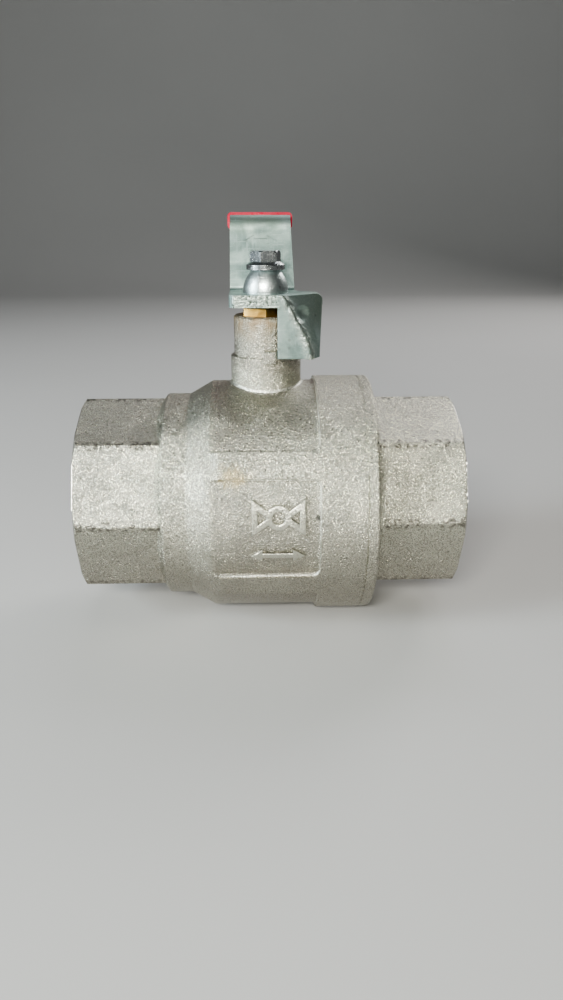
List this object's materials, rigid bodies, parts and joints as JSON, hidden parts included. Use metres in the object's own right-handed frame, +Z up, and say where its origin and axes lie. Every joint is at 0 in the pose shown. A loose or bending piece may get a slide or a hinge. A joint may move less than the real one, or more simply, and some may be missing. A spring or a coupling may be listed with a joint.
{
  "type": "ball valve",
  "caption": "Full-bore two-piece ball valve with octagonal female pipe-thread ends, a gland-packed stem and a flat steel lever with a sleeved grip.",
  "frame": {"origin": "centre of the ball, where the pipe axis crosses the stem axis", "axes": "+X along the pipe from the inlet to the outlet, +Z up the stem axis towards the lever, +Y along the lever of the closed valve"},
  "size_m": [0.14, 0.2115, 0.15],
  "materials": {
    "nickel_plated_brass": "shot-blasted hot forging with a matt, slightly warm nickel plate",
    "chromed_ball": "mirror-polished hard chrome on brass",
    "bare_brass": "turned bare brass",
    "ptfe": "smooth white PTFE",
    "nitrile_rubber": "moulded black nitrile rubber",
    "zinc_plated_steel": "pressed steel, zinc plated, blotchy and slightly blue-green",
    "bright_zinc": "pressed steel with a bright zinc plate",
    "zinc_screw": "darker zinc-plated steel screw",
    "red_vinyl": "dipped glossy red vinyl"
  },
  "bodies": {
    "housing": {"valve_body": "nickel_plated_brass", "end_cap": "nickel_plated_brass", "cap_joint_seal": "ptfe", "inlet_seat": "ptfe", "outlet_seat": "ptfe", "inlet_seat_o_ring": "nitrile_rubber", "outlet_seat_o_ring": "nitrile_rubber", "stem_thrust_washer": "ptfe", "packing_ring_bottom": "ptfe", "packing_ring_middle": "ptfe", "packing_ring_top": "ptfe", "gland_follower": "bare_brass", "gland_nut": "bare_brass"},
    "stem_and_lever": {"stem": "bare_brass", "stem_o_ring_lower": "nitrile_rubber", "stem_o_ring_upper": "nitrile_rubber", "lever": "zinc_plated_steel", "lever_sleeve": "red_vinyl", "dome_washer": "bright_zinc", "lever_screw": "zinc_screw"},
    "ball": {"ball": "chromed_ball"}
  },
  "joints": [
    {"name": "lever_turn", "type": "hinge", "parent": "housing", "child": "stem_and_lever", "pos_m": [0, 0, 0], "axis": [0, 0, 1], "range_deg": [0, 90]},
    {"name": "ball_turn", "type": "hinge", "parent": "housing", "child": "ball", "pos_m": [0, 0, 0], "axis": [0, 0, 1], "range_deg": [0, 90]}
  ],
  "couplings": [
    {"joint": "ball_turn", "follows": "lever_turn", "ratio": 1}
  ]
}
